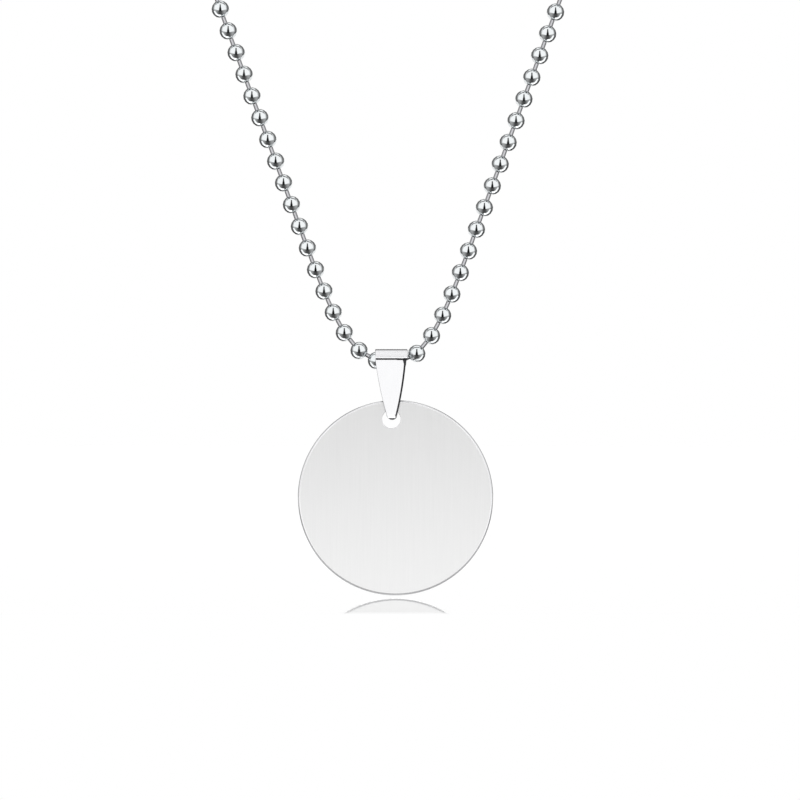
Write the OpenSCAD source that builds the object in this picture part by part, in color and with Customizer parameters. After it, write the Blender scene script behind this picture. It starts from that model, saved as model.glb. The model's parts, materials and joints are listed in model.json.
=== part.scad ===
// Round tag necklace: a plain round tag on a folded bail, hung on a ball chain.
// Millimetres. +Z is up and the necklace faces -Y, as its wearer does.
// The origin is at the nape, in the middle of the coupling that closes the chain.

/* [Tag] */
// Diameter of the tag
tag_d = 28.3; // [26:0.1:29]
// Thickness of the tag
tag_t = 1.2; // [1:0.1:1.2]
// Radius that rounds the edges of the tag's rim
rim_r = 0.3; // [0.1:0.05:0.4]
// Diameter of the hole that the bail passes through
hole_d = 2.75; // [2.7:0.05:3]
// Width of the metal between the hole and the rim
web_w = 1.35; // [1.2:0.05:1.5]
// Lean of the tag from plumb, its lower end towards +X
tag_lean = 3; // [0:1:5]

/* [Bail] */
// Width of the bail at its roof
bail_w = 4.7; // [4.2:0.1:4.7]
// Width of the bail at its rounded tip
tip_w = 1.6; // [1.4:0.1:1.8]
// Outward bow of the bail's tapering sides
side_bow = 0.17; // [0.05:0.01:0.3]
// Thickness of the strip that the bail is folded from
strip_t = 0.35; // [0.3:0.05:0.4]
// Height of the roof's underside over the axis that the bail swings on
roof_in = 1.3; // [1.3:0.05:1.35]
// Height of the bend at the bail's shoulder over that axis
shoulder_z = 0.25; // [0.15:0.05:0.3]
// Distance from the axis to the outside of the shoulder, front and back
shoulder_y = 2.2; // [2.15:0.05:2.4]
// Depth of the bail's tip below the axis
tip_drop = 8.4; // [8.3:0.1:8.6]
// Depth of the top of the tag's hole below the axis
hole_drop = 7.1; // [7:0.05:7.2]
// Offset of the bail and tag from the middle of the chain
bail_x = 0.5; // [0.3:0.1:0.5]

/* [Ball chain] */
// Outer diameter of a bead
bead_d = 2.4; // [2.3:0.05:2.4]
// Wall of the hollow bead
bead_wall = 0.25; // [0.2:0.05:0.25]
// Distance from the middle of one bead to the next
pitch = 3.35; // [3.3:0.05:3.4]
// The same distance between the two lowest beads of each arm, which lie closer
low_pitch = 2.9; // [2.9:0.05:3.3]
// Diameter of the rods between the beads
rod_d = 0.75; // [0.65:0.05:0.75]
// Diameter of the head that holds a rod in the next bead
head_d = 1.2; // [1.15:0.05:1.25]
// Beads on each straight arm of the V
arm_beads = 38; // [34:1:40]
// Beads from each arm's top round the neck to the coupling
neck_beads = 51; // [50:1:53]
// Slope of the straight arms
arm_slope = 70; // [68:1:71]
// Rods over which an arm bends up from the bottom of the V
bend_rods = 2.2; // [2:0.1:2.3]
// Fall of the bottom rod from level, towards +X
rod_fall = 7.4; // [0:0.2:7.4]

/* [Neck] */
// Distance from the chest to the nape
neck_depth = 110; // [108:1:112]
// Drop from the nape to the top of the straight arms
neck_drop = 85; // [83:1:87]
// Reach of the curve that leaves the top of an arm
chest_reach = 50; // [48:1:52]
// Reach of the curve that arrives at the nape
nape_reach = 55; // [53:1:57]

/* [Coupling] */
// Inside length of the coupling
coupling_l = 6.4; // [6.3:0.1:6.6]
// Inside diameter of the coupling
coupling_bore = 2.7; // [2.65:0.05:2.8]
// Wall of the coupling
coupling_wall = 0.3; // [0.25:0.05:0.35]
// Diameter of the hole in each end of the coupling, for the chain's last rods
end_hole_d = 1.25; // [1.1:0.05:1.4]
// Width of the slot along the coupling
slot_w = 0.9; // [0.8:0.1:1]

/* [Hidden] */
$fn = 48;
steel = [0.78, 0.79, 0.8];
satin_steel = [0.68, 0.69, 0.7];

// Room left between loose pieces
gap = 0.12;
// Room for the tag's edge in the round end of the bail, on each side
edge_room = 0.15;
// Extra length of a cutter past the face that it cuts
over = 1;

// A bead's hollow, the way in for the rod before it, and the seat of that rod's head
hollow_d = bead_d - 2 * bead_wall;
bead_bore = rod_d + 2 * gap;
head_seat = (hollow_d - head_d) / 2 - gap;

// Half of the bottom rod, seen from the front
half_rod = pitch / 2 * [cos(rod_fall), 0, -sin(rod_fall)];

// The bail swings on the middle of the higher of the two lowest beads
arm_rise = arm_points()[arm_beads - 1].z;
axis_z = -neck_drop - arm_rise;
axis = [bail_x, -neck_depth, axis_z];
rod_middle = [0, -neck_depth, axis_z + half_rod.z];
end_bead_x = (coupling_l - bead_d) / 2 - gap;
side_beads = arm_beads + neck_beads;

// Straight steps that stand for each curve: the neck, the bail's roof, its round end,
// each bowed side and half of its tip
ruler_steps = 60;
roof_steps = 24;
end_steps = 16;
bow_steps = 8;
tip_steps = 5;
// Slope at which each bowed side runs into the round tip
tip_start = -15;

// Bail, in a frame with its origin on the axis: the roof is an arc, and each leg is
// a straight line from the shoulder to the round end that holds the tag
roof_out = roof_in + strip_t;
roof_rise = roof_out - shoulder_z;
roof_r = (pow(shoulder_y, 2) + pow(roof_rise, 2)) / (2 * roof_rise);
roof_z = roof_out - roof_r;
inner_y = shoulder_y - strip_t;
inner_z = roof_z + sqrt(pow(roof_r - strip_t, 2) - pow(inner_y, 2));
trough_r = tag_t / 2 + edge_room;
trough_z = sqrt(pow(trough_r - gap, 2) - pow(tag_t / 2, 2)) - hole_drop;
fold_r = trough_r + strip_t;
fold_z = fold_r - tip_drop;
tip_z = tip_w / 2 - tip_drop;

// Tag, in a frame with its origin in the middle of its hole
hole_z = axis_z - hole_drop - hole_d / 2;
tag_below_hole = (tag_d - hole_d) / 2 - web_w;

// Slope of rod k of an arm, which grows from level towards the arm's final slope
function tanh(u) = 1 - 2 / (exp(2 * u) + 1);
function rod_slope(k) = arm_slope * tanh(k / bend_rods);
function rod_step(k) =
    (k == 1 ? low_pitch : pitch) * [cos(rod_slope(k)), 0, sin(rod_slope(k))];

// Bead centres of the straight arm on the +X side, from its lowest bead
function arm_points() = [
    for (k = 1, p = [0, 0, 0]; k <= arm_beads; p = p + rod_step(k), k = k + 1) p
];

// The four points of the curve round the neck, from an arm's top to the coupling
function neck_curve(top) = [
    top,
    top + chest_reach * [cos(arm_slope), 0, sin(arm_slope)],
    [end_bead_x + nape_reach, 0, 0],
    [end_bead_x, 0, 0]
];
function on_curve(c, t) =
    pow(1 - t, 3) * c[0] + 3 * pow(1 - t, 2) * t * c[1]
    + 3 * (1 - t) * pow(t, 2) * c[2] + pow(t, 3) * c[3];

// Length along the curve so far, with the curve's own parameter at that length
function ruler(c) = [
    for (i = 0, s = 0;
         i <= ruler_steps;
         s = s + norm(on_curve(c, (i + 1) / ruler_steps) - on_curve(c, i / ruler_steps)),
         i = i + 1)
        [s, i / ruler_steps]
];
function neck_points(c) =
    let (marks = ruler(c), length = marks[ruler_steps][0])
    [for (k = [1:neck_beads]) on_curve(c, lookup(length * k / neck_beads, marks))];

// Bead centres of one side, from the bottom rod to the coupling. Side is 1 or -1,
// and the side at +X starts lower, by the fall of the bottom rod.
function mirrored(points, side) = [for (p = points) [side * p.x, p.y, p.z]];
function side_points(side) =
    let (
        lowest = [half_rod.x, -neck_depth, rod_middle.z + side * half_rod.z],
        arm = [for (p = arm_points()) lowest + p],
        neck = neck_points(neck_curve(arm[arm_beads - 1]))
    )
    mirrored(concat(arm, neck), side);
function reversed(points) = [for (i = [len(points) - 1:-1:0]) points[i]];
chain_points = concat(reversed(side_points(1)), side_points(-1));

// Turns what is drawn along +Z to run from one point to another
module aim(from, to) {
    run = to - from;
    translate(from)
        rotate([0, acos(run.z / norm(run)), atan2(run.y, run.x)])
            children();
}

// A hollow bead, open towards the bead before it unless it is the first
module bead(i) {
    before = i > 0 ? chain_points[i - 1] : 2 * chain_points[0] - chain_points[1];
    aim(chain_points[i], before)
        difference() {
            sphere(d = bead_d);
            sphere(d = hollow_d);
            if (i > 0) cylinder(d = bead_bore, h = bead_d);
        }
}

// The rod from bead i towards the next, which ends in a head loose inside that bead
module rod(i) {
    start = bead_d / 2 - bead_wall / 2;
    end = pitch - head_seat;
    aim(chain_points[i], chain_points[i + 1]) {
        translate([0, 0, start]) cylinder(d = rod_d, h = end - start);
        translate([0, 0, end]) sphere(d = head_d);
    }
}

module beads_and_rods(first, last) {
    for (i = [first:last])
        union() {
            bead(i);
            if (i < len(chain_points) - 1) rod(i);
        }
}

// The chain in two halves. The right half's last rod is the bottom rod, which ends
// in the left half's first bead.
module chain_right() {
    color(steel) beads_and_rods(0, side_beads - 1);
}
module chain_left() {
    color(steel) beads_and_rods(side_beads, 2 * side_beads - 1);
}

// The sleeve at the nape that holds the chain's two end beads
module coupling() {
    outer_d = coupling_bore + 2 * coupling_wall;
    outer_l = coupling_l + 2 * coupling_wall;
    color(steel)
        rotate([0, 90, 0])
            difference() {
                cylinder(d = outer_d, h = outer_l, center = true);
                cylinder(d = coupling_bore, h = coupling_l, center = true);
                cylinder(d = end_hole_d, h = outer_l + over, center = true);
                translate([outer_d / 2, 0, 0])
                    cube([outer_d, slot_w, coupling_l - over], center = true);
            }
}

// Points of an arc, with the angles in degrees
function arc(centre, r, from, to, steps) = [
    for (i = [0:steps])
        let (a = from + (to - from) * i / steps)
        centre + r * [cos(a), sin(a)]
];

// Side view of the bail's outside or its hollow: an arc over the roof down to each
// corner of the shoulder, and an arc round the end that both legs run into
function bail_loop(roof, corner, end_z, end_r) =
    let (
        shoulder_a = atan2(corner.y - roof_z, corner.x),
        leg = corner - [0, end_z],
        end_a = atan2(leg.y, leg.x) - acos(end_r / norm(leg))
    )
    concat(
        arc([0, roof_z], roof, 180 - shoulder_a, shoulder_a, roof_steps),
        arc([0, end_z], end_r, end_a, -180 - end_a, end_steps)
    );

// Front view of the bail: a band over the shoulder, then sides that bow and taper
// towards a round tip
function bail_outline() =
    let (
        top = [bail_w / 2, shoulder_z],
        bottom = [tip_w / 2, tip_z],
        side = top - bottom,
        bow_r = (pow(norm(side) / 2, 2) + pow(side_bow, 2)) / (2 * side_bow),
        inward = [-side.y, side.x] / norm(side),
        centre = (top + bottom) / 2 + (bow_r - side_bow) * inward,
        top_a = atan2(top.y - centre.y, top.x - centre.x),
        bottom_a = atan2(bottom.y - centre.y, bottom.x - centre.x),
        right = concat(
            [[bail_w / 2, roof_out + over]],
            arc(centre, bow_r, top_a, bottom_a, bow_steps),
            arc([0, tip_z], tip_w / 2, tip_start, -90, tip_steps)
        )
    )
    concat(right, [for (i = [len(right) - 2:-1:0]) [-right[i].x, right[i].y]]);

module bail() {
    color(steel)
        translate(axis)
            intersection() {
                rotate([90, 0, 90])
                    linear_extrude(bail_w + over, center = true)
                        difference() {
                            polygon(bail_loop(roof_r, [shoulder_y, shoulder_z],
                                              fold_z, fold_r));
                            polygon(bail_loop(roof_r - strip_t, [inner_y, inner_z],
                                              trough_z, trough_r));
                        }
                rotate([90, 0, 0])
                    linear_extrude(2 * shoulder_y + over, center = true)
                        polygon(bail_outline());
            }
}

// Half of the tag's cross-section, with both edges of the rim rounded
module tag_section() {
    square_r = tag_d / 2 - rim_r;
    translate([0, -tag_t / 2]) square([square_r, tag_t]);
    translate([0, rim_r - tag_t / 2]) square([tag_d / 2, tag_t - 2 * rim_r]);
    for (side = [-1, 1])
        translate([square_r, side * (tag_t / 2 - rim_r)]) circle(r = rim_r);
}

module tag() {
    color(satin_steel)
        translate([axis.x, axis.y, hole_z])
            rotate([90, -tag_lean, 0])
                difference() {
                    translate([0, -tag_below_hole, 0]) rotate_extrude($fn = 180) tag_section();
                    cylinder(d = hole_d, h = tag_t + over, center = true);
                }
}

chain_right();
chain_left();
coupling();
bail();
tag();
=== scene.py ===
# %% [markdown]
# # A round tag on a ball chain
# This lesson dresses a small steel necklace for a studio picture. The solid parts are
# loaded first: two halves of a ball chain, the coupling that closes it, the folded bail
# and the round tag. Each of them is then modelled again here with the soft edges, seams
# and finishes that light needs, in metres, in exactly the same place.

# %% Load the solid parts
import json
import math

import bmesh
import bpy
from mathutils import Matrix, Vector


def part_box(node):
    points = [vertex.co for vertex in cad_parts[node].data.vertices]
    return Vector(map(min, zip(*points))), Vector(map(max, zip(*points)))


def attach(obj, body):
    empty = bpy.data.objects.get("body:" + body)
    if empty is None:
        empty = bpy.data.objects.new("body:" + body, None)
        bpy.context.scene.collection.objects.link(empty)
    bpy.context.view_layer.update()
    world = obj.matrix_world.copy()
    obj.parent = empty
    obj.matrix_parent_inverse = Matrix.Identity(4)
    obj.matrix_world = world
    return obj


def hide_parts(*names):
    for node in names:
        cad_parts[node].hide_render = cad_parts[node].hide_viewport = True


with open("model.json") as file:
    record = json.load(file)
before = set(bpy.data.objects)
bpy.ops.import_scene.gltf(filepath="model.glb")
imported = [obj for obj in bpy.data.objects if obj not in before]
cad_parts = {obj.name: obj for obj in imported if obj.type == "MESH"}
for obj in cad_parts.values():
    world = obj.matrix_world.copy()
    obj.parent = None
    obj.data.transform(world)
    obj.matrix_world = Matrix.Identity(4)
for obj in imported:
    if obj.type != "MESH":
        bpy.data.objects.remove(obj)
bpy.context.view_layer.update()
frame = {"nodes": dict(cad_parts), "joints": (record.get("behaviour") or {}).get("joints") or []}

print("solid parts:", sorted(frame["nodes"]))

# %% [markdown]
# ## Places that everything else hangs on
# The bail swings on the two lowest beads, and the tag swings in the bail. Those two
# swing axes are the best anchors in the whole necklace, so places are written as
# distances from them. The sizes of the solid parts come from their boxes.

# %% Anchors and sizes
MM = 0.001


def swing_axis(name):
    """The point that a joint of the necklace turns on."""
    found = next(joint for joint in frame["joints"] if joint["name"] == name)
    return Vector(found["pos_m"])


def in_mm(points):
    """Points in rounded millimetres, to be printed."""
    return [[round(c / MM, 2) for c in point] for point in points]


bail_axis = swing_axis("bail_swing")
hole_centre = swing_axis("tag_swing")
bail_low, bail_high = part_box("bail")
tag_low, tag_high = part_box("tag")
print("bail axis and tag's hole at", in_mm([bail_axis, hole_centre]), "mm")

# %% [markdown]
# ## Camera
# The picture is taken from straight in front, level with the middle of the view and
# from far away, so the round tag stays round and both arms of the chain lean alike.
# A far camera needs a long lens: the lens length is the sensor's width times the
# distance, divided by the width that the picture takes in.

# %% Camera
VIEW_W = 115.94 * MM
VIEW_DISTANCE = 900 * MM
VIEW_RIGHT = 1.75 * MM
VIEW_DOWN = 5.72 * MM
SENSOR_W = 36
view_centre = Vector((VIEW_RIGHT, bail_axis.y, bail_axis.z - VIEW_DOWN))

lens = bpy.data.cameras.new("picture_camera")
lens.sensor_width = SENSOR_W
lens.lens = SENSOR_W * VIEW_DISTANCE / VIEW_W
camera = bpy.data.objects.new("picture_camera", lens)
camera.location = view_centre - Vector((0, VIEW_DISTANCE, 0))
camera.rotation_euler = (math.radians(90), 0, 0)
bpy.context.scene.collection.objects.link(camera)
bpy.context.scene.camera = camera
bpy.context.scene.view_settings.view_transform = "Standard"
print("lens", round(lens.lens), "mm")

# %% [markdown]
# ## Small helpers for node trees
# Every finish below is a short chain of nodes. These helpers add one node, join it up
# and hand back its output, so that a finish reads from top to bottom like a recipe.

# %% Node helpers
def add_node(tree, kind, inputs=(), output=0, **settings):
    """Adds a node, sets or links its inputs, and returns one of its outputs."""
    made = tree.nodes.new(kind)
    for name, value in settings.items():
        setattr(made, name, value)
    for name, value in dict(inputs).items():
        if isinstance(value, bpy.types.NodeSocket):
            tree.links.new(value, made.inputs[name])
        else:
            made.inputs[name].default_value = value
    return made.outputs[output]


def maths(tree, operation, a, b=0.0):
    """One sum, such as MULTIPLY or ABSOLUTE, of two values or outputs."""
    return add_node(tree, "ShaderNodeMath", {0: a, 1: b}, operation=operation)


def between(tree, value, low, high, start=0.0, end=1.0):
    """Goes softly from start to end while the value goes from low to high."""
    inputs = {"Value": value, "From Min": low, "From Max": high, "To Min": start, "To Max": end}
    return add_node(tree, "ShaderNodeMapRange", inputs, interpolation_type="SMOOTHSTEP")


def blend(tree, share, a, b):
    """A mix of two greys."""
    return add_node(tree, "ShaderNodeMix", {0: share, 2: a, 3: b}, data_type="FLOAT")


print("node helpers:", [helper.__name__ for helper in (add_node, maths, between, blend)])

# %% [markdown]
# ## What a light tent shows
# Polished steel has no colour of its own: it shows the room. Small shiny things are
# photographed in a white tent that is left open where the lens looks in. In each bead
# the opening shows as a dark wedge, the dark table edge in front as a grey band below
# the middle, and the dark room behind as the ring that draws the bead's outline. Each
# of the three is a share of darkness that depends on the direction one looks in: a
# unit vector, with the camera towards -Y. Left and right are alike, so only the size
# of X counts.

# %% Parts of the tent
EDGE_BOW = 0.26  # how much the table's edge rises at its ends
EDGE_TONES = (0.08, 0.45)  # in the middle and at the ends
OPENING_WIDTHS = (0.34, 0.14)  # at its foot and at its top
ROOM_TONES = (0.09, 0.19)  # low and high


def table_edge(tree, x_size, y, z):
    """The table's dark front edge, higher and paler at its ends: its share and its tone."""
    bow = maths(tree, "MULTIPLY", maths(tree, "POWER", x_size, 2), EDGE_BOW)
    low = between(tree, maths(tree, "SUBTRACT", z, bow), -0.2, -0.42)
    reach = add_node(tree, "ShaderNodeMath", {0: x_size, 1: -0.6, 2: y}, operation="MULTIPLY_ADD")
    share = maths(tree, "MULTIPLY", low, between(tree, reach, 0.0, -0.25))
    return share, between(tree, x_size, 0.15, 0.95, *EDGE_TONES)


def lens_opening(tree, x_size, y, z):
    """The opening in front, which narrows upwards: its share."""
    width = between(tree, z, -0.3, 0.8, *OPENING_WIDTHS)
    share = between(tree, maths(tree, "DIVIDE", x_size, width), 1.3, 0.5)
    bottom = between(tree, z, -0.65, -0.3)
    top = between(tree, z, 0.97, 0.85)
    front = between(tree, y, 0.1, -0.1)
    for end in (bottom, top, front):
        share = maths(tree, "MULTIPLY", share, end)
    return share


def dark_room(tree, x_size, y, z):
    """The room behind, except where the tent's back flap stands up: its share and its tone."""
    side = between(tree, x_size, 0.6, 1.0, 0.24, -0.25)
    flap = maths(tree, "MULTIPLY", between(tree, x_size, 0.45, 0.25), between(tree, z, 0.6, 0.8))
    open_part = maths(tree, "SUBTRACT", 1, flap)
    share = maths(tree, "MULTIPLY", between(tree, y, side, 0.48), open_part)
    return share, between(tree, z, -0.5, 0.6, *ROOM_TONES)


print("tent parts:", [part.__name__ for part in (table_edge, lens_opening, dark_room)])

# %% [markdown]
# ## The light tent
# Walls and lamps would have to stand round the necklace. Painting the tent on the
# world's directions does the same for all the beads at once, and leaves the picture
# free: the camera itself sees plain white. Two small things go on top of the three dark
# ones. A seam of the tent shows as a short stroke near the top of each bead, and
# straight behind it is white again, which keeps the outline thin.

# %% Light tent
TENT_TONES = (1.5, 1.2)  # low and high
SEAM_Y = 0.1
SEAM_TONE = 0.03
BEHIND_TONE = 1.0
WHITE = (1, 1, 1, 1)


def tent_tone(tree):
    """The tent's brightness in each direction."""
    split = tree.nodes.new("ShaderNodeSeparateXYZ")
    tree.links.new(add_node(tree, "ShaderNodeTexCoord"), split.inputs[0])
    x, y, z = split.outputs
    x_size = maths(tree, "ABSOLUTE", x)
    tone = between(tree, z, -0.3, 0.0, *TENT_TONES)
    table_share, table_tone = table_edge(tree, x_size, y, z)
    tone = blend(tree, table_share, tone, table_tone)
    tone = blend(tree, lens_opening(tree, x_size, y, z), tone, 0.0)
    room_share, room_tone = dark_room(tree, x_size, y, z)
    tone = blend(tree, room_share, tone, room_tone)
    from_seam = maths(tree, "ABSOLUTE", maths(tree, "SUBTRACT", y, SEAM_Y))
    high = between(tree, z, 0.55, 0.8)
    seam = maths(tree, "MULTIPLY", between(tree, from_seam, 0.2, 0.06), high)
    tone = blend(tree, seam, tone, SEAM_TONE)
    return blend(tree, between(tree, y, 0.985, 0.992), tone, BEHIND_TONE)


world = bpy.data.worlds.new("light_tent")
world.use_nodes = True
world_tree = world.node_tree
world_tree.nodes.clear()
painted = {"Strength": tent_tone(world_tree), "Color": WHITE}
tent = add_node(world_tree, "ShaderNodeBackground", painted)
plain = add_node(world_tree, "ShaderNodeBackground", {"Strength": 1.0, "Color": WHITE})
seen_by_camera = add_node(world_tree, "ShaderNodeLightPath")
shown = add_node(world_tree, "ShaderNodeMixShader", {0: seen_by_camera, 1: tent, 2: plain})
world_output = world_tree.nodes.new("ShaderNodeOutputWorld")
world_tree.links.new(shown, world_output.inputs["Surface"])
bpy.context.scene.world = world
print("light tent:", len(world_tree.nodes), "nodes")

# %% [markdown]
# ## The table
# The tag's lower edge hangs a hair above a white table whose surface mirrors it at a
# low angle. Fresnel tells how strongly a smooth sheet would mirror; this one is a little
# rough, so it starts to shine only where that is already more than half, and from
# higher up the table is plain white. Only the sheet under the necklace shines. It ends
# a hand's breadth in front of it, and the table beyond is matt.

# %% Table
TABLE_GAP = 0.22 * MM
TABLE_HALF_W = 3.0
SHEET_FRONT = 68 * MM
SHEET_FADE = 7 * MM
SHEET_IOR = 1.3
SHEET_SHINE = 0.88
SHINE_STARTS = 0.58
SHINE_FULL = 0.78
SHEET_ROUGH = 0.03


def table_material():
    """White everywhere, with a glossy sheet up to a line in front of the necklace."""
    material = bpy.data.materials.new("white_table")
    material.use_nodes = True
    tree = material.node_tree
    tree.nodes.clear()
    place = add_node(tree, "ShaderNodeTexCoord", output="Object")
    split = tree.nodes.new("ShaderNodeSeparateXYZ")
    tree.links.new(place, split.inputs[0])
    front = bail_axis.y - SHEET_FRONT
    sheet = between(tree, split.outputs[1], front - SHEET_FADE, front + SHEET_FADE)
    smooth = add_node(tree, "ShaderNodeFresnel", {"IOR": SHEET_IOR})
    mirror = between(tree, smooth, SHINE_STARTS, SHINE_FULL, 0.0, SHEET_SHINE)
    share = maths(tree, "MULTIPLY", sheet, mirror)
    matt = add_node(tree, "ShaderNodeEmission", {"Color": WHITE, "Strength": 1.0})
    shine = add_node(tree, "ShaderNodeBsdfGlossy", {"Color": WHITE, "Roughness": SHEET_ROUGH})
    mixed = add_node(tree, "ShaderNodeMixShader", {0: share, 1: matt, 2: shine})
    surface = tree.nodes.new("ShaderNodeOutputMaterial")
    tree.links.new(mixed, surface.inputs["Surface"])
    return material


table_z = tag_low.z - TABLE_GAP
table_bm = bmesh.new()
bmesh.ops.create_grid(table_bm, x_segments=1, y_segments=1, size=TABLE_HALF_W)
bmesh.ops.translate(table_bm, verts=table_bm.verts, vec=(0, 0, table_z))
table_mesh = bpy.data.meshes.new("table")
table_bm.to_mesh(table_mesh)
table_bm.free()
table_mesh.materials.append(table_material())
table = bpy.data.objects.new("table", table_mesh)
bpy.context.scene.collection.objects.link(table)
table.visible_glossy = False
print("table at", round(table_z / MM, 2), "mm")

# %% [markdown]
# ## Steel, seven ways
# The beads are barrelled until they mirror, their rods are plain drawn wire, the bail
# is polished sheet with dull cut edges, and the tag's faces are drawn once over an
# abrasive belt, which leaves fine upright lines inside a tumbled rim. The wire and the
# cut edges are also painted dark as shade: the wire for the shade between the beads,
# the edges for the shade on the bail's sides. The seventh is painted shade alone: the
# bail's tightest corner, where hardly any light gets in, is painted almost black. All
# are the same metal, so they share a recipe. They differ in how rough they are, in the
# pattern that the roughness follows, and in how much light they give back.

# %% Steel recipe
SHADED = 0.97  # share of the colour that the grain's low places keep
GRAIN_DEPTH = 0.002 * MM
GRAIN_OCTAVES = 3


def steel(name, colour, rough_low, rough_high, stretch, turn=0.0, bump=0.0):
    """A metal whose roughness wanders between two values along a pattern of Object coordinates.

    stretch is how fine the pattern is along X, Y and Z, in 1/m, and turn is how far it
    is turned about Y."""
    material = bpy.data.materials.new(name)
    material.use_nodes = True
    tree = material.node_tree
    shader = tree.nodes["Principled BSDF"]
    shader.inputs["Metallic"].default_value = 1.0
    place = add_node(tree, "ShaderNodeTexCoord", output="Object")
    centred = add_node(
        tree,
        "ShaderNodeMapping",
        {"Vector": place, "Location": -hole_centre},
        vector_type="POINT",
    )
    turned = add_node(
        tree,
        "ShaderNodeMapping",
        {"Vector": centred, "Rotation": (0, turn, 0), "Scale": stretch},
        vector_type="POINT",
    )
    grain = add_node(
        tree,
        "ShaderNodeTexNoise",
        {"Vector": turned, "Scale": 1.0, "Detail": GRAIN_OCTAVES, "Roughness": 0.6},
    )
    # Noise of this kind seldom leaves the range from 0.3 to 0.7.
    rough = between(tree, grain, 0.3, 0.7, rough_low, rough_high)
    tree.links.new(rough, shader.inputs["Roughness"])
    shaded = (*[c * SHADED for c in colour], 1)
    tint = add_node(
        tree,
        "ShaderNodeMix",
        {0: between(tree, grain, 0.25, 0.75), 6: shaded, 7: (*colour, 1)},
        output=2,
        data_type="RGBA",
    )
    tree.links.new(tint, shader.inputs["Base Color"])
    if bump:
        lines = {"Strength": bump, "Distance": GRAIN_DEPTH, "Height": grain}
        tree.links.new(add_node(tree, "ShaderNodeBump", lines), shader.inputs["Normal"])
    return material


chain_steel = steel("barrelled_steel", (0.765, 0.79, 0.80), 0.05, 0.09, (900, 900, 900))
# The wire's dark colour is painted shade, for the shade between the beads.
wire_steel_painted_shade = steel("drawn_wire_painted_shade", (0.27, 0.27, 0.28), 0.20, 0.26, (900, 900, 900))
print("chain finishes:", chain_steel.name, "and", wire_steel_painted_shade.name)

# %% Finishes of the bail and the tag
TAG_LEAN = math.radians(3)
bail_steel = steel("polished_sheet", (0.74, 0.74, 0.75), 0.12, 0.15, (1500, 600, 300))
# The cut edge is partly real dullness, and its dark colour is painted shade.
cut_edge_shade_steel = steel("cut_edge_painted_shade", (0.10, 0.10, 0.105), 0.25, 0.35, (2500, 2500, 2500))
# Painted shade: the bail's tightest corner is painted almost black.
corner_shade_steel = steel("painted_corner_shade", (0.02, 0.02, 0.022), 0.25, 0.35, (2500, 2500, 2500))
satin_steel = steel(
    "satin_steel", (0.69, 0.69, 0.69), 0.29, 0.32, (5000, 5000, 90), turn=TAG_LEAN, bump=0.06
)
rim_steel = steel("polished_rim", (0.66, 0.66, 0.67), 0.10, 0.16, (600, 600, 600))
bail_finishes_and_shades = [bail_steel, cut_edge_shade_steel, corner_shade_steel]
tag_finishes = [satin_steel, rim_steel]
print("bail and tag finishes:", [finish.name for finish in bail_finishes_and_shades + tag_finishes])

# %% [markdown]
# ## From a bmesh to a piece
# Each piece is shaped in a bmesh and then becomes an object that stays at the origin.
# Creases sharper than a set angle are marked sharp and the rest is shaded smooth, as
# the light on turned and pressed metal is. The piece then rides on its body, takes the
# place of its solid part and wears its materials. No worn metal has a knife
# edge, so a second helper rounds edges off with a bevel.

# %% Piece helpers
def make_piece(bm, name, body, slot, materials, replaced, crease=35):
    """Turns a bmesh into a piece that rides on a body in place of solid parts."""
    for edge in bm.edges:
        finishes_met = {face.material_index for face in edge.link_faces}
        edge.smooth = edge.calc_face_angle(0) < math.radians(crease) and len(finishes_met) == 1
    for face in bm.faces:
        face.smooth = True
    mesh = bpy.data.meshes.new(name)
    bm.to_mesh(mesh)
    bm.free()
    for material in materials:
        mesh.materials.append(material)
    piece = bpy.data.objects.new(name, mesh)
    bpy.context.scene.collection.objects.link(piece)
    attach(piece, body)
    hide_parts(*replaced)
    print(name, "has", len(mesh.polygons), "faces")
    return piece


def round_off(bm, edges, radius, segments):
    """Rounds edges off."""
    bmesh.ops.bevel(
        bm,
        geom=edges,
        offset=radius,
        offset_type="OFFSET",
        affect="EDGES",
        segments=segments,
        profile=0.5,
        material=-1,
    )


print("piece helpers:", make_piece.__name__, "and", round_off.__name__)

# %% [markdown]
# ## One bead and one rod
# A ball chain's bead is a strip of steel rolled into a hollow ball round the round
# heads of two short rods. A ball is cut flat where the rods come in, and the cut is
# pressed inward, which leaves the narrow dark collar round each rod. The rods are
# plain drawn wire, duller than the barrelled beads, and their dark colour is painted
# shade, for the shade between the beads. There are 178 beads, so a bead is kept
# coarse: its shine comes from smooth shading.

# %% Bead and rod
BEAD_R = 1.27 * MM
BEAD_SIDES = 12
BEAD_RINGS = 8
ROD_R = 0.3 * MM
ROD_SIDES = 10
PITCH = 3.35 * MM
COLLAR = 0.06 * MM
COLLAR_DEPTH = 0.08 * MM
flat_z = math.sqrt(BEAD_R**2 - (ROD_R + COLLAR) ** 2)


def as_mesh(bm, name):
    """Keeps a bmesh as a mesh that can be laid many times."""
    mesh = bpy.data.meshes.new(name)
    bm.to_mesh(mesh)
    bm.free()
    return mesh


def bead_mesh():
    """A bead at the origin, with its rods along Z."""
    bm = bmesh.new()
    bmesh.ops.create_uvsphere(bm, u_segments=BEAD_SIDES, v_segments=BEAD_RINGS, radius=BEAD_R)
    for end in (1, -1):
        cut = bmesh.ops.bisect_plane(
            bm,
            geom=bm.verts[:] + bm.edges[:] + bm.faces[:],
            plane_co=(0, 0, end * flat_z),
            plane_no=(0, 0, end),
            clear_outer=True,
        )
        ring = [part for part in cut["geom_cut"] if isinstance(part, bmesh.types.BMEdge)]
        cap = bmesh.ops.edgeloop_fill(bm, edges=ring)["faces"]
        bmesh.ops.recalc_face_normals(bm, faces=bm.faces)
        bmesh.ops.inset_region(bm, faces=cap, thickness=COLLAR, depth=-COLLAR_DEPTH)
    return as_mesh(bm, "bead")


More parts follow.
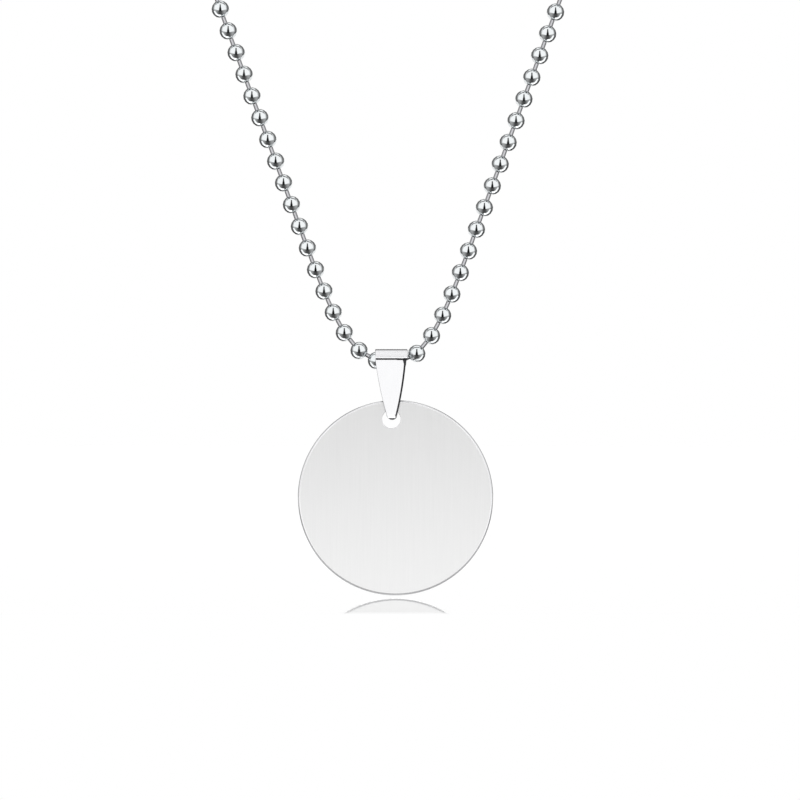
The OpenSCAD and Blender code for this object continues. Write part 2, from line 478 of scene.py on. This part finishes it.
def rod_mesh():
    """The rod from the bead at the origin to the next one along +Z, sunk in both."""
    bm = bmesh.new()
    bmesh.ops.create_cone(
        bm,
        cap_ends=True,
        segments=ROD_SIDES,
        radius1=ROD_R,
        radius2=ROD_R,
        depth=PITCH - 2 * (flat_z - 2 * COLLAR_DEPTH),
        matrix=Matrix.Translation((0, 0, PITCH / 2)),
    )
    return as_mesh(bm, "rod")


bead = bead_mesh()
rod = rod_mesh()
print("a bead has", len(bead.polygons), "faces and a rod", len(rod.polygons))

# %% [markdown]
# ## The way the chain hangs
# From the bottom of the V each arm bends up quickly and then runs straight to the
# collar bones; there one smooth curve takes it round the neck to the nape. The slope
# of each rod follows a tanh, which grows fast and then levels out, as a weighted
# chain does. Round the neck the beads are spread evenly along a Bezier curve, which a
# row of short chords measures.

# %% Arms and neck
ARM_BEADS = 38
ARM_SLOPE = math.radians(70)
BEND_RODS = 2.2
LOW_PITCH = 2.9 * MM
NECK_BEADS = 51
CHEST_REACH = 50 * MM
NAPE_REACH = 55 * MM
END_BEAD_X = 1.88 * MM
CHORDS = 60


def arm_points(lowest):
    """Bead centres of one arm, from its lowest bead up."""
    points = [lowest]
    for k in range(1, ARM_BEADS):
        slope = ARM_SLOPE * math.tanh(k / BEND_RODS)
        step = LOW_PITCH if k == 1 else PITCH
        points.append(points[-1] + step * Vector((math.cos(slope), 0, math.sin(slope))))
    return points


def on_curve(curve, t):
    """A point of a Bezier curve with four control points."""
    a, b, c, d = curve
    s = 1 - t
    return s**3 * a + 3 * s * s * t * b + 3 * s * t * t * c + t**3 * d


def neck_points(top):
    """Bead centres from the top of an arm to the coupling, evenly spaced along the curve."""
    up_arm = Vector((math.cos(ARM_SLOPE), 0, math.sin(ARM_SLOPE)))
    nape = Vector((END_BEAD_X, 0, 0))
    curve = (top, top + CHEST_REACH * up_arm, nape + Vector((NAPE_REACH, 0, 0)), nape)
    marks = [0.0]
    for i in range(CHORDS):
        chord = on_curve(curve, (i + 1) / CHORDS) - on_curve(curve, i / CHORDS)
        marks.append(marks[-1] + chord.length)
    points = []
    for k in range(1, NECK_BEADS + 1):
        wanted = marks[-1] * k / NECK_BEADS
        i = max(n for n in range(CHORDS) if marks[n] <= wanted)
        t = (i + (wanted - marks[i]) / (marks[i + 1] - marks[i])) / CHORDS
        points.append(on_curve(curve, t))
    return points


print("an arm has", ARM_BEADS, "beads and half the neck", NECK_BEADS)

# %% [markdown]
# ## The bottom of the V
# The two lowest beads lie in the bail, and the rod between them falls a little to the
# right, as the necklace in the picture happens to hang. The right one is also pushed in
# and up a little by the bail. The whole route starts at the nape, runs down the right
# side and goes up again on the left.

# %% Route
ROD_FALL = math.radians(7.4)
TUCKED_IN = 0.22 * MM
TUCKED_UP = 0.2 * MM


def side_points(side):
    """Bead centres of one side, from the bottom rod to the nape. The +X side starts lower."""
    half = PITCH / 2 * Vector((math.cos(ROD_FALL), 0, -math.sin(ROD_FALL)))
    lowest = Vector((half.x, bail_axis.y, bail_axis.z + half.z + side * half.z))
    arm = arm_points(lowest)
    points = arm + neck_points(arm[-1])
    if side > 0:
        points[0] = points[0] + Vector((-TUCKED_IN, 0, TUCKED_UP))
    return [Vector((side * p.x, p.y, p.z)) for p in points]


chain_points = side_points(1)[::-1] + side_points(-1)
length = sum((b - a).length for a, b in zip(chain_points, chain_points[1:]))
print(len(chain_points), "beads on", round(length / MM), "mm of chain")

# %% [markdown]
# ## The chain
# Each side of the chain gets one piece of beads and one of rods: the bead or the rod
# is laid at every point of the route and turned to point at the next one. The very
# last bead has no next one, and keeps the turn of the one before. The right side's
# last rod is the bottom one, which the bail hides.

# %% Chain
side_beads = ARM_BEADS + NECK_BEADS
last_rod = len(chain_points) - 2


def laid(mesh, first, last):
    """Copies of a mesh from point first to point last of the route, as one bmesh."""
    bm = bmesh.new()
    for i in range(first, last + 1):
        start = min(i, last_rod)
        way = chain_points[start + 1] - chain_points[start]
        turn = way.to_track_quat("Z", "Y").to_matrix().to_4x4()
        known = len(bm.verts)
        bm.from_mesh(mesh)
        bm.verts.ensure_lookup_table()
        bmesh.ops.transform(
            bm, matrix=Matrix.Translation(chain_points[i]) @ turn, verts=bm.verts[known:]
        )
    return bm


def chain_side(side, first, last):
    """The beads and the rods of one side."""
    beads = laid(bead, first, last)
    rods = laid(rod, first, min(last, last_rod))
    node = ["chain_" + side]
    return (
        make_piece(beads, "beads_" + side, "chain", "chain_steel", [chain_steel], node),
        make_piece(rods, "rods_" + side, "chain", "chain_steel", [wire_steel_painted_shade], node),
    )


beads_right, rods_right = chain_side("right", 0, side_beads - 1)
beads_left, rods_left = chain_side("left", side_beads, 2 * side_beads - 1)

# %% [markdown]
# ## The coupling
# Behind the neck a short sleeve holds the two end beads. It is rolled from thin sheet
# and keeps an open slot, through which the beads are pushed in. A tube gets two rings
# of cuts, its ends are drawn in round the rods, the lowest faces between the cuts are
# taken out for the slot, and then the skin is given its thickness.

# %% Coupling
SLEEVE_R = 1.65 * MM
SLEEVE_L = 7.0 * MM
SLEEVE_WALL = 0.3 * MM
SLEEVE_SIDES = 24
SLOT_L = 5.4 * MM
SLOT_FROM = 0.95  # share of the radius
END_HOLE_R = 0.625 * MM


def in_slot(face):
    """Whether a face of the tube lies in the slot: between the cuts and at the very bottom."""
    middle = face.calc_center_median()
    return abs(middle.x) < SLOT_L / 2 and middle.z < -SLEEVE_R * SLOT_FROM


def coupling():
    """The sleeve, along X at the nape, with its slot underneath."""
    bm = bmesh.new()
    bmesh.ops.create_cone(
        bm,
        cap_ends=False,
        segments=SLEEVE_SIDES,
        radius1=SLEEVE_R,
        radius2=SLEEVE_R,
        depth=SLEEVE_L,
        matrix=Matrix.Rotation(math.radians(90), 4, "Y"),
    )
    for x in (-SLOT_L / 2, SLOT_L / 2):
        geom = bm.verts[:] + bm.edges[:] + bm.faces[:]
        bmesh.ops.bisect_plane(bm, geom=geom, plane_co=(x, 0, 0), plane_no=(1, 0, 0))
    for end in (-1, 1):
        rim = [e for e in bm.edges if e.is_boundary and e.verts[0].co.x * end > SLOT_L / 2]
        drawn = bmesh.ops.extrude_edge_only(bm, edges=rim)["geom"]
        verts = [part for part in drawn if isinstance(part, bmesh.types.BMVert)]
        shrink = END_HOLE_R / SLEEVE_R
        bmesh.ops.scale(bm, verts=verts, vec=(1, shrink, shrink))
    bmesh.ops.delete(bm, geom=[face for face in bm.faces if in_slot(face)], context="FACES")
    bmesh.ops.recalc_face_normals(bm, faces=bm.faces)
    bmesh.ops.solidify(bm, geom=bm.faces[:], thickness=SLEEVE_WALL)
    return bm


sleeve = make_piece(
    coupling(), "coupling_sleeve", "chain", "chain_steel", [chain_steel], ["coupling"]
)

# %% [markdown]
# ## The bail's bends
# The bail is a strip of sheet bent into a loop: an arched roof over two beads, a bend
# at each shoulder, and two straight legs that run into a tight fold through the tag's
# hole. The solid bail's box gives the height of the roof, the depth of the shoulders
# and the tip, and the bends are worked out between them, in the plane that one sees
# from the side. The tip reaches a little lower than the solid one, as in the picture.

# %% Bail bends
SHOULDER_RISE = 0.25 * MM
SHOULDER_BEND_R = 0.5 * MM
FOLD_R = 1.1 * MM
ROOF_STOPS = 0.045  # radians short of the shoulder's full depth
TIP_EXTRA = 0.22 * MM

bail_half_w = (bail_high.x - bail_low.x) / 2
roof_top = bail_high.z - bail_axis.z
tip_bottom = bail_low.z - bail_axis.z - TIP_EXTRA
shoulder_y = (bail_high.y - bail_low.y) / 2


def bail_bends():
    """Centres and turns of the bends in the YZ plane: the roof, a shoulder, a leg, the fold."""
    rise = roof_top - SHOULDER_RISE
    roof_r = (shoulder_y**2 + rise**2) / (2 * rise)
    roof_centre = Vector((0, roof_top - roof_r))
    roof_turn = math.asin(shoulder_y / roof_r) - ROOF_STOPS
    inward = Vector((math.sin(roof_turn), -math.cos(roof_turn)))
    bend_centre = roof_centre - (roof_r - SHOULDER_BEND_R) * inward
    fold_centre = Vector((0, tip_bottom + FOLD_R))
    apart = fold_centre - bend_centre
    leg_l = math.sqrt(apart.length**2 - (FOLD_R - SHOULDER_BEND_R) ** 2)
    heading = math.atan2(apart.y, apart.x) - math.atan2(FOLD_R - SHOULDER_BEND_R, leg_l)
    heading %= 2 * math.pi
    bend_turn = heading - math.pi - roof_turn
    fold_turn = 2 * (2 * math.pi - heading)
    leg = leg_l * Vector((math.cos(heading), math.sin(heading)))
    return roof_centre, roof_turn, bend_centre, bend_turn, leg, fold_centre, fold_turn


print("bail:", in_mm([(bail_half_w, roof_top, tip_bottom, shoulder_y)]), "mm")

# %% [markdown]
# ## Bending the strip
# Here the strip is bent as on the bench. A row of edges across it is spun round the
# centre of each bend in turn and pushed straight along each leg, until the strip
# closes. It could also be cut from a block, but a sheet bent like this has even cells
# from edge to edge, which the taper and the finishes then use.

# %% Bent strip
STRIP_CELLS = 8
ROOF_STEPS = 12
SHOULDER_STEPS = 5
LEG_STEPS = 14
FOLD_STEPS = 20
SAME_PLACE = 0.002 * MM


def bent_strip():
    """The strip bent into a closed loop, without thickness."""
    roof_centre, roof_turn, bend_centre, bend_turn, leg, fold_centre, fold_turn = bail_bends()
    bm = bmesh.new()
    ends = [bm.verts.new((side * bail_half_w, 0, roof_top)) for side in (-1, 1)]
    across = bm.edges.new(ends)
    bmesh.ops.subdivide_edges(bm, edges=[across], cuts=STRIP_CELLS - 1)
    row = bm.verts[:] + bm.edges[:]

    def sweep(row, centre=Vector((0, 0)), turn=0.0, push=Vector((0, 0)), steps=1):
        swept = bmesh.ops.spin(
            bm,
            geom=row,
            cent=(0, centre.x, centre.y),
            axis=(1, 0, 0),
            dvec=(0, push.x / steps, push.y / steps),
            angle=turn,
            steps=steps,
        )
        return swept["geom_last"]

    back_centre = Vector((-bend_centre.x, bend_centre.y))
    row = sweep(row, roof_centre, roof_turn, steps=ROOF_STEPS)
    row = sweep(row, bend_centre, bend_turn, steps=SHOULDER_STEPS)
    row = sweep(row, push=leg, steps=LEG_STEPS)
    row = sweep(row, fold_centre, fold_turn, steps=FOLD_STEPS)
    row = sweep(row, push=Vector((leg.x, -leg.y)), steps=LEG_STEPS)
    row = sweep(row, back_centre, bend_turn, steps=SHOULDER_STEPS)
    row = sweep(row, roof_centre, roof_turn, steps=ROOF_STEPS)
    bmesh.ops.remove_doubles(bm, verts=bm.verts, dist=SAME_PLACE)
    return bm


strip = bent_strip()
print("the bent strip has", len(strip.faces), "faces")

# %% [markdown]
# ## The bail's outline
# From in front the bail is as broad as its roof down to the shoulders and then tapers,
# with sides that bow out slightly, to a round tip a little right of the middle. Its
# right side is trimmed a little narrower, and the edge there leans, most of all in the
# corner under the shoulder, so it shows from in front as a dark line; the dark of
# that line is painted shade on the leaning edge. These four rules give, for a height
# over the swing axis, what is needed to draw the strip in.

# %% Bail outline
TIP_W = 1.6 * MM
TIP_SHIFT = 0.1 * MM
BLUNT = 0.12  # half the width of the very end, as a share of the tip's width
SIDE_BOW = 0.17 * MM
RIGHT_TRIM = 0.2 * MM
TRIM_GROWS = 0.04  # share of the way down
EDGE_LEAN = 0.27 * MM
LEAN_FADES = 0.4 * MM
CORNER_LEAN = 0.5 * MM
CORNER_ENDS = 0.1  # share of the way down


def bail_half_width(z):
    """Half the strip's width at a height: a band, two bowed tapers, a round tip."""
    tip_centre = tip_bottom + TIP_W / 2
    if z >= SHOULDER_RISE:
        return bail_half_w
    if z < tip_centre:
        round_tip = math.sqrt(max((TIP_W / 2) ** 2 - (z - tip_centre) ** 2, 0))
        return max(round_tip, TIP_W * BLUNT)
    down = (SHOULDER_RISE - z) / (SHOULDER_RISE - tip_centre)
    straight = bail_half_w + (TIP_W / 2 - bail_half_w) * down
    return straight + 4 * SIDE_BOW * down * (1 - down)


def way_down(z):
    """0 at the shoulder and above it, 1 at the tip."""
    return max((SHOULDER_RISE - z) / (SHOULDER_RISE - tip_bottom), 0)


def right_trim(z):
    """How much less the right side reaches out: most below the shoulder, nothing at the tip."""
    down = way_down(z)
    return RIGHT_TRIM * (1 - down) * min(down / TRIM_GROWS, 1)


def edge_lean(z):
    """How far the right side's outer edge leans in: most in the corner, nothing at the tip."""
    down = way_down(z)
    corner = CORNER_LEAN * max(1 - down / CORNER_ENDS, 0) ** 2
    over_tip = (z - tip_bottom - LEAN_FADES) / LEAN_FADES
    return (EDGE_LEAN + corner) * min(max(over_tip, 0), 1) * (down > 0)


for z in (0.5 * MM, -1 * MM, -5 * MM):
    print("width at", round(z / MM, 1), "mm:", round(2 * bail_half_width(z) / MM, 2), "mm")

# %% [markdown]
# ## The bail
# Every vertex of the strip keeps its share of the width, from -1 at the left edge to 1
# at the right one, while the sides are drawn in. Solidify gives the sheet its
# thickness, and a bevel rounds the edges that don't lean. Three materials meet on it.
# The sheet is polished. Its cut edges are duller, and their dark colour is painted
# shade, which shows most on the leaning right edge; the lowest part of the tip is
# given the same dark colour. And where the bend line runs into the leaning edge, the
# corner is painted almost black as shade.

# %% Bail
STRIP_T = 0.35 * MM
EDGE_ROUND = 0.07 * MM
EDGE_STEPS = 2
AT_EDGE = 0.99  # share of the width
SIDEWAYS = 0.5
# The lowest part of the tip, up to this height, gets the same dark colour as the cut edges.
DARK_TIP_RISE = 0.3 * MM
# Where the corner is painted almost black as shade.
CORNER_Z = 0.1 * MM
CORNER_H = 0.6 * MM
CORNER_START = 0.45  # share of the width
# The second material is the dark cut edge colour, painted shade on the sides; the third paints
# the corner almost black as shade.
POLISHED, DARKENED, CORNER_SHADE = range(3)


def bail_finish_or_shade(face, shares):
    """Which material a face of the strip wears: polished, darkened (the cut edges' painted shade
    and the tip), or the corner painted almost black as shade. The painted corner shade grows
    towards the right.
    """
    z = face.calc_center_median().z
    share = sum(shares[vert] for vert in face.verts) / len(face.verts)
    if abs(z - CORNER_Z) < CORNER_H * max(share - CORNER_START, 0):
        return CORNER_SHADE
    rise = z - tip_bottom
    at_right = any(shares[vert] > AT_EDGE for vert in face.verts)
    return DARKENED if rise < DARK_TIP_RISE or (at_right and rise < TIP_W / 2) else POLISHED


def bail(bm):
    """The bail from its bent strip: tapered, thickened, with one leaning and one round edge."""
    shares = {vert: vert.co.x / bail_half_w for vert in bm.verts}
    for vert, share in shares.items():
        z = vert.co.z
        reach = share * bail_half_width(z) - max(share, 0) * right_trim(z)
        vert.co.x = reach + TIP_SHIFT * way_down(z)
    bmesh.ops.recalc_face_normals(bm, faces=bm.faces)
    top = max(bm.faces, key=lambda face: face.calc_center_median().z)
    if top.normal.z < 0:
        bmesh.ops.reverse_faces(bm, faces=bm.faces)
    for face in bm.faces:
        face.material_index = bail_finish_or_shade(face, shares)
    leaning = {vert for vert in shares if shares[vert] > AT_EDGE and way_down(vert.co.z) > 0}
    rounded = [e for e in bm.edges if e.is_boundary and not leaning.intersection(e.verts)]
    bmesh.ops.solidify(bm, geom=bm.faces[:], thickness=STRIP_T)
    for vert, share in shares.items():
        vert.co.x -= max(share, 0) * edge_lean(vert.co.z)
    round_off(bm, rounded, EDGE_ROUND, EDGE_STEPS)
    bmesh.ops.translate(bm, verts=bm.verts, vec=bail_axis)
    bm.normal_update()
    # Side-facing faces below the roof get the dark cut edge colour, which paints shade on the
    # bail's sides.
    for face in bm.faces:
        below_roof = face.calc_center_median().z < bail_axis.z + SHOULDER_RISE
        if below_roof and abs(face.normal.x) > SIDEWAYS:
            face.material_index = max(face.material_index, DARKENED)
    return bm


folded_bail = make_piece(
    bail(strip), "folded_bail", "bail", "bail_steel", bail_finishes_and_shades, ["bail"], crease=18
)

# %% [markdown]
# ## The tag's disc
# The tag is punched from sheet and its rim is tumbled round. It starts as a flat round
# face, which is pulled up to the sheet's thickness. Bevelling its two round edges
# makes the rim, whose lower side then mirrors the dark table edge as the fine grey
# line that closes the disc.

# %% Disc
TAG_SIDES = 144
RIM_R = 0.3 * MM
RIM_STEPS = 6

tag_r = (tag_high.z - tag_low.z) / 2
tag_t = tag_high.y - tag_low.y
tag_centre = (tag_low + tag_high) / 2


def flat_disc():
    """The tag without its hole, lying flat about its own middle."""
    bm = bmesh.new()
    bmesh.ops.create_circle(bm, cap_ends=True, segments=TAG_SIDES, radius=tag_r)
    bmesh.ops.translate(bm, verts=bm.verts, vec=(0, 0, -tag_t / 2))
    raised = bmesh.ops.extrude_face_region(bm, geom=bm.faces[:])["geom"]
    verts = [part for part in raised if isinstance(part, bmesh.types.BMVert)]
    bmesh.ops.translate(bm, verts=verts, vec=(0, 0, tag_t))
    bmesh.ops.recalc_face_normals(bm, faces=bm.faces)
    rims = [e for e in bm.edges if any(len(face.verts) == TAG_SIDES for face in e.link_faces)]
    round_off(bm, rims, RIM_R, RIM_STEPS)
    return bm


disc = flat_disc()
print("disc:", round(2 * tag_r / MM, 2), "mm across,", round(tag_t / MM, 2), "mm thick")

# %% [markdown]
# ## The tag
# The hole comes last, because its edge is only broken and not tumbled. Each flat face
# is filled again between the disc's rim and a ring, and the two rings are bridged. A
# Boolean could punch it too, but this way keeps the rim's even cells. The disc is then
# stood up in its place.

# %% Tag
HOLE_D = 2.68 * MM
HOLE_SIDES = 40
HOLE_EDGE = 0.04 * MM
HOLE_STEPS = 2
FLAT = 0.999


def punch_hole(bm):
    """Makes the round hole through the disc, with its edges just broken."""
    hole = hole_centre - tag_centre
    hole_edges = []
    for flat in [face for face in bm.faces if len(face.verts) == TAG_SIDES]:
        height = flat.calc_center_median().z
        rim = flat.edges[:]
        bmesh.ops.delete(bm, geom=[flat], context="FACES_ONLY")
        known = set(bm.edges)
        bmesh.ops.create_circle(
            bm,
            cap_ends=False,
            segments=HOLE_SIDES,
            radius=HOLE_D / 2,
            matrix=Matrix.Translation((hole.x, hole.z, height)),
        )
        ring = [edge for edge in bm.edges if edge not in known]
        bmesh.ops.triangle_fill(bm, use_beauty=True, use_dissolve=False, edges=rim + ring)
        hole_edges += ring
    bmesh.ops.bridge_loops(bm, edges=hole_edges)
    round_off(bm, hole_edges, HOLE_EDGE, HOLE_STEPS)


def tag(bm):
    """The tag, standing in its place: satin on its flat faces, polished elsewhere."""
    punch_hole(bm)
    bmesh.ops.recalc_face_normals(bm, faces=bm.faces)
    for face in bm.faces:
        face.material_index = 0 if abs(face.normal.z) > FLAT else 1
    stand = Matrix.Translation(tag_centre) @ Matrix.Rotation(math.radians(90), 4, "X")
    bmesh.ops.transform(bm, matrix=stand, verts=bm.verts)
    return bm


round_tag = make_piece(tag(disc), "round_tag", "tag", "tag_steel", tag_finishes, ["tag"])

# %% [markdown]
# ## White cards
# A photographer holds white cards near shiny pieces, one for each piece that would
# otherwise mirror something dark. Here a card is an area light that only its own
# pieces receive: light linking keeps it out of the others. A card's tone is the
# brightness that a mirror would show of it. It stands in a direction from the point
# that it faces, and its width runs along another direction.

# %% Card helper
FRONT = (0, -1, 0)
BACK = (0, 1, 0)
ACROSS = (1, 0, 0)


def card(name, pieces, aim, direction, along, distance, half_w, half_h, tone):
    """A card that faces a point. Its half sizes are shares of its distance."""
    light = bpy.data.lights.new(name, "AREA")
    light.shape = "RECTANGLE"
    light.size = 2 * half_w * distance
    light.size_y = 2 * half_h * distance
    light.energy = tone * math.pi * light.size * light.size_y
    z = Vector(direction).normalized()
    x = (Vector(along) - z * z.dot(Vector(along))).normalized()
    turn = Matrix((x, z.cross(x), z)).transposed().to_4x4()
    holder = bpy.data.objects.new(name, light)
    holder.matrix_world = Matrix.Translation(aim + distance * z) @ turn
    holder.visible_camera = False
    lit = bpy.data.collections.new(name + "_lights")
    for piece in pieces:
        lit.objects.link(piece)
    holder.light_linking.receiver_collection = lit
    bpy.context.scene.collection.objects.link(holder)
    print(name, "lights", [piece.name for piece in pieces])


print("card helper:", card.__name__)

# %% [markdown]
# ## Cards for the chain
# The dark ring round a bead fades at its lower inner side and holds a white crescent
# at its lower outer side, so each side of the chain gets one card behind it and one
# below it, placed as mirror images. The rods get a weak light from the outer side and
# a bright one from in front, and the coupling gets one from in front.

# %% Chain cards
for beads, rods, inward in ((beads_left, rods_left, 1), (beads_right, rods_right, -1)):
    card(
        beads.name + "_back_card", [beads], bail_axis,
        (0.42 * inward, 0.78, -0.5), (0.5 * inward, -0.7, -0.45), 2.0, 0.62, 0.5, 0.9,
    )
    card(
        beads.name + "_side_card", [beads], bail_axis,
        (-0.62 * inward, 0.06, -0.78), BACK, 2.0, 0.27, 0.8, 1.0,
    )
    card(
        rods.name + "_side_card", [rods], bail_axis,
        (-0.94 * inward, -0.1, -0.34), BACK, 2.0, 0.4, 0.4, 0.5,
    )
card("rod_card", [rods_left, rods_right], bail_axis, FRONT, ACROSS, 1.0, 0.35, 0.4, 2.6)
card("coupling_card", [sleeve], Vector((0, 0, 0)), FRONT, ACROSS, 1.0, 0.5, 0.35, 0.9)

# %% [markdown]
# ## Cards for the bail
# The front leg looks down a little, so its large card stands in front and below, and a
# smaller one on either side keeps it light when it is seen at an angle. A weak card on
# the left leaves the left edge as a thin grey line. Two narrow cards over the roof keep
# it just short of white, and the last card lights the leg behind.

# %% Bail cards
card("bail_front_card", [folded_bail], bail_axis, (0, -0.7, -0.7), ACROSS, 1.0, 0.4, 0.84, 1.35)
for side, x in (("left", -0.64), ("right", 0.64)):
    card(
        "bail_front_" + side + "_card", [folded_bail], bail_axis,
        (x, -0.72, -0.35), (0.7, x, 0), 1.0, 0.22, 0.4, 0.54,
    )
card("bail_side_card", [folded_bail], bail_axis, (-1, 0, -0.2), BACK, 1.0, 0.3, 0.3, 0.1)
card("bail_top_card", [folded_bail], bail_axis, (0, 0.1, 0.995), ACROSS, 1.0, 0.4, 0.13, 1.17)
card("bail_high_card", [folded_bail], bail_axis, (0, -0.545, 0.839), ACROSS, 1.0, 0.4, 0.15, 1.2)
card("bail_back_card", [folded_bail], bail_axis, (0, 0.86, -0.5), ACROSS, 1.0, 0.9, 0.7, 1.19)

# %% [markdown]
# ## Cards for the tag
# The satin face spreads what it mirrors. One card in front makes it grey, and a small
# one low down in front makes it lighter towards its lower edge. The rim mirrors
# sharply: a wide weak card below and a narrow one above set how dark its fine line is.
# The back of the tag gets two cards of its own.

# %% Tag cards
LOW_CARD_DROP = 60 * MM

card("tag_front_card", [round_tag], tag_centre, FRONT, ACROSS, 0.9, 0.38, 0.4, 0.94)
card("tag_rim_card", [round_tag], tag_centre, (0, -0.5, -0.85), ACROSS, 1.0, 2.0, 0.55, 0.45)
card("tag_top_card", [round_tag], tag_centre, (0, -0.75, 0.66), ACROSS, 1.0, 0.2, 0.5, 0.8)
card(
    "tag_low_card", [round_tag], tag_centre - Vector((0, 0, LOW_CARD_DROP)),
    FRONT, ACROSS, 0.12, 0.6, 0.5, 0.4,
)
card("tag_back_card", [round_tag], tag_centre, BACK, ACROSS, 1.0, 0.5, 0.3, 0.8)
card("tag_low_back_card", [round_tag], tag_centre, (0, 0.9, -0.42), ACROSS, 1.0, 1.7, 0.45, 0.9)
